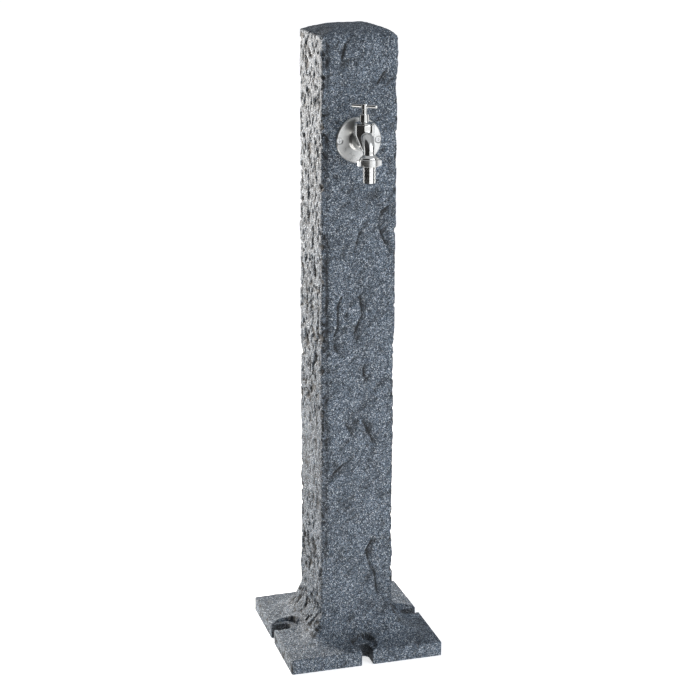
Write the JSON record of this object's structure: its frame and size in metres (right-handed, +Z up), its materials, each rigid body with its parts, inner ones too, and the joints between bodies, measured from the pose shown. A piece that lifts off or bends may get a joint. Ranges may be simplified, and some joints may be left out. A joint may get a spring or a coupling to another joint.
{
  "type": "garden water post",
  "caption": "Free-standing stone-look garden water post on a slotted square foot, with a T-bar tap, round wall flange and barbed hose union.",
  "frame": {"origin": "middle of the foot's underside", "axes": "+Z up; the tap is on the front face, towards -Y; +X is to the right seen from the front"},
  "size_m": [0.25, 0.26, 1],
  "materials": {
    "stone_look_plastic": "rough split-stone relief, speckled",
    "polished_steel": "polished stainless steel",
    "satin_steel": "satin stainless steel",
    "steel_fastener": "plain stainless steel",
    "brass": "machined brass",
    "black_rubber": "moulded rubber",
    "fibre": "pressed black fibre sealing ring",
    "packing": "soft white packing ring",
    "hose_rubber": "reinforced water hose"
  },
  "bodies": {
    "post": {"column_shell": "stone_look_plastic", "rosette_gasket": "black_rubber", "rosette": "satin_steel", "flange_screws": "steel_fastener", "flange_inserts": "brass", "tap_body": "polished_steel", "bonnet_washer": "fibre", "bonnet": "polished_steel", "gland_packing": "packing", "gland_nut": "polished_steel", "back_nut": "brass", "elbow_nut": "brass", "elbow_washer": "fibre", "supply_elbow": "brass", "supply_hose": "hose_rubber", "hose_clamps": "steel_fastener", "inlet_elbow": "brass", "inlet_connector": "brass", "inlet_seal": "black_rubber", "inlet_lock_nut": "brass"},
    "valve": {"jumper_valve": "brass", "jumper_washer": "black_rubber", "washer_nut": "brass"},
    "spindle": {"spindle": "polished_steel", "t_bar": "polished_steel"},
    "hose_tail": {"hose_tail": "polished_steel", "tail_gasket": "black_rubber"},
    "union_nut": {"union_nut": "satin_steel"}
  },
  "joints": [
    {"name": "spindle_rise", "type": "slide", "parent": "post", "child": "valve", "axis": [0, 0, 1], "range_m": [0, 0.005]},
    {"name": "spindle_turn", "type": "hinge", "parent": "valve", "child": "spindle", "pos_m": [-0.004, -0.0935, 0.8875], "axis": [0, 0, 1], "range_deg": [0, 720]},
    {"name": "tail_travel", "type": "slide", "parent": "post", "child": "hose_tail", "axis": [0, 0, -1], "range_m": [0, 0.00544]},
    {"name": "union_nut_turn", "type": "hinge", "parent": "hose_tail", "child": "union_nut", "pos_m": [-0.004, -0.12, 0.809], "axis": [0, 0, -1], "range_deg": [0, 1080]}
  ],
  "couplings": [
    {"joint": "spindle_turn", "follows": "spindle_rise", "rad_per_m": 2513.3},
    {"joint": "union_nut_turn", "follows": "tail_travel", "rad_per_m": 3463.7}
  ]
}
